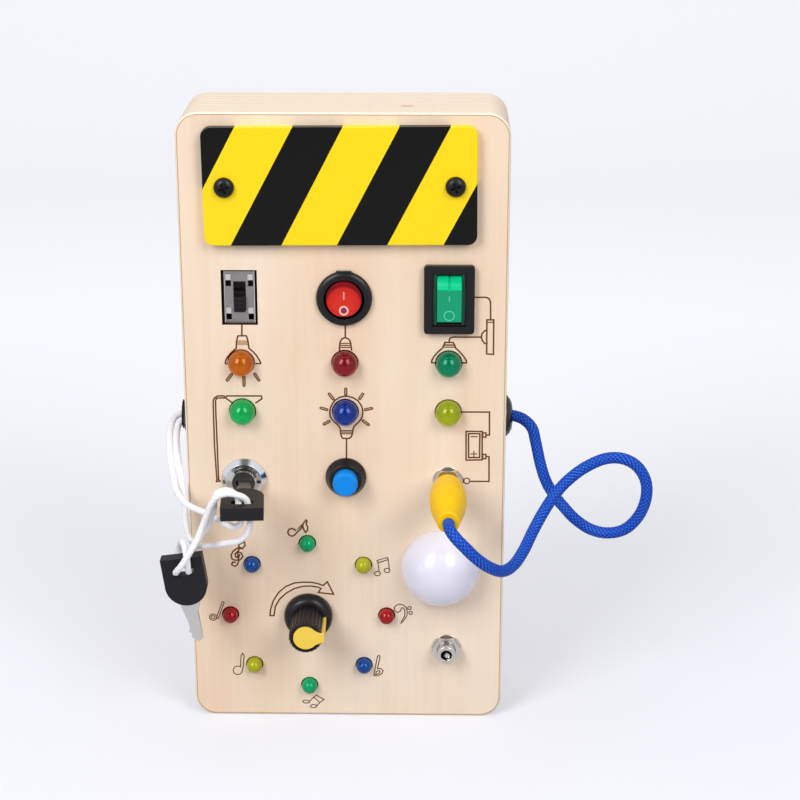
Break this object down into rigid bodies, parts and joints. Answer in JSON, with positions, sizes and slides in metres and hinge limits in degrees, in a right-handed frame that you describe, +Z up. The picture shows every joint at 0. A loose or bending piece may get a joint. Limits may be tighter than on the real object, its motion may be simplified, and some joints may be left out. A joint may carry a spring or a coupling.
{
  "type": "busy board",
  "caption": "Slim upright wooden busy board for a toddler: switches, key lock, lamps, dial, jack with plug on a looped cord and a light dome on the front",
  "frame": {"origin": "centre of the base, midway between the front and the back of the wooden box", "axes": "+X to the right as the player sees it, +Y from the front to the back, +Z up"},
  "size_m": [0.1533, 0.0757, 0.2],
  "materials": {
    "black_plastic": "black moulded plastic",
    "black_rubber": "black rubber",
    "black_screw": "black oxide steel",
    "blue_braid": "braided polyester cord",
    "blue_plastic": "blue moulded plastic",
    "board_green": "green solder mask",
    "cell_jacket": "printed sleeve of a dry cell",
    "cream_plastic": "yellow moulded plastic",
    "green_plastic": "translucent green moulded plastic",
    "led_blue": "tinted clear resin",
    "led_dark_green": "tinted clear resin",
    "led_dark_red": "tinted clear resin",
    "led_green": "tinted clear resin",
    "led_lime": "tinted clear resin",
    "led_orange": "tinted clear resin",
    "led_white": "clear resin",
    "lock_chrome": "bright chrome plate",
    "lock_core": "turned core, satin",
    "nickel_sheet": "nickel-plated metal",
    "opal_dome": "opal diffusing plastic",
    "phenolic": "brown phenolic board",
    "ply_core": "sanded plywood edge",
    "ply_face": "sanded birch plywood, oiled matt",
    "red_plastic": "red moulded plastic",
    "tinned_brass": "tinned brass tabs",
    "white_cord": "twisted white polyester cord",
    "white_nylon": "white nylon",
    "yellow_plate": "yellow printed acrylic plate with black stripes",
    "yellow_rubber": "soft moulded vinyl",
    "zinc_steel": "zinc-plated steel"
  },
  "bodies": {
    "board": {"front_panel": "ply_face", "front_frame": "ply_core", "rear_frame": "ply_core", "back_panel": "ply_face", "back_screws": "zinc_steel", "striped_plate": "yellow_plate", "plate_screws": "black_screw", "battery_tray": "black_plastic", "battery_cells": "cell_jacket", "battery_contacts": "zinc_steel", "slide_switch_can": "nickel_sheet", "slide_switch_base": "phenolic", "slide_switch_pins": "nickel_sheet", "round_switch_body": "black_plastic", "rect_switch_body": "black_plastic", "rocker_terminals": "tinned_brass", "lamp_orange": "led_orange", "lamp_dark_red": "led_dark_red", "lamp_dark_green": "led_dark_green", "lamp_green": "led_green", "lamp_blue": "led_blue", "lamp_lime": "led_lime", "button_body": "black_plastic", "button_spring": "zinc_steel", "button_nut": "nickel_sheet", "lock_body": "lock_chrome", "lock_nut": "nickel_sheet", "lock_terminals": "tinned_brass", "upper_jack": "nickel_sheet", "lower_jack": "nickel_sheet", "jack_nuts": "nickel_sheet", "light_dome": "opal_dome", "dome_led": "led_white", "ring_leds_green": "led_dark_green", "ring_leds_yellow": "led_lime", "ring_leds_red": "led_dark_red", "ring_leds_blue": "led_blue", "dial_body": "nickel_sheet", "dial_nut": "nickel_sheet", "circuit_board": "board_green", "board_chips": "black_plastic", "right_grommet": "black_rubber", "left_grommet": "black_rubber", "braided_cord": "blue_braid", "key_cord": "white_cord"},
    "slide_knob": {"slide_switch_knob": "black_plastic"},
    "round_key": {"round_rocker": "red_plastic"},
    "rect_key": {"rect_rocker": "green_plastic"},
    "button": {"button_cap": "blue_plastic"},
    "lock_key": {"lock_core": "lock_core", "lock_key_head": "black_plastic", "lock_key_blade": "lock_chrome"},
    "dial": {"dial_shaft": "white_nylon", "dial_knob": "black_plastic", "dial_pointer": "cream_plastic"},
    "plug": {"plug_body": "yellow_rubber", "plug_pin": "lock_chrome"},
    "spare_key": {"spare_key_head": "black_plastic", "spare_key_blade": "lock_chrome"}
  },
  "joints": [
    {"name": "slide_switch", "type": "slide", "parent": "board", "child": "slide_knob", "axis": [0, 0, 1], "range_m": [0, 0.004]},
    {"name": "round_rocker_swing", "type": "hinge", "parent": "board", "child": "round_key", "pos_m": [0, -0.016, 0.143], "axis": [1, 0, 0], "range_deg": [0, 20]},
    {"name": "rect_rocker_swing", "type": "hinge", "parent": "board", "child": "rect_key", "pos_m": [0.032, -0.016, 0.143], "axis": [-1, 0, 0], "range_deg": [0, 20]},
    {"name": "push_button", "type": "slide", "parent": "board", "child": "button", "axis": [0, 1, 0], "range_m": [0, 0.0025], "stiffness_N_per_m": 500, "springref_m": -0.001, "deforming": ["button_spring"]},
    {"name": "lock_turn", "type": "hinge", "parent": "board", "child": "lock_key", "pos_m": [-0.032, -0.016, 0.0834], "axis": [0, 1, 0], "range_deg": [0, 90], "deforming": ["key_cord"]},
    {"name": "dial_turn", "type": "hinge", "parent": "board", "child": "dial", "pos_m": [-0.0125, -0.016, 0.0364], "axis": [0, 1, 0], "range_deg": [-240, 60]},
    {"name": "plug_pull", "type": "slide", "parent": "board", "child": "plug", "axis": [0, -1, 0], "range_m": [0, 0.016], "deforming": ["braided_cord"]},
    {"name": "spare_key_swing", "type": "hinge", "parent": "board", "child": "spare_key", "pos_m": [-0.05211, -0.0325, 0.05925], "axis": [0, 1, 0], "range_deg": [-20, 20], "deforming": ["key_cord"]}
  ]
}
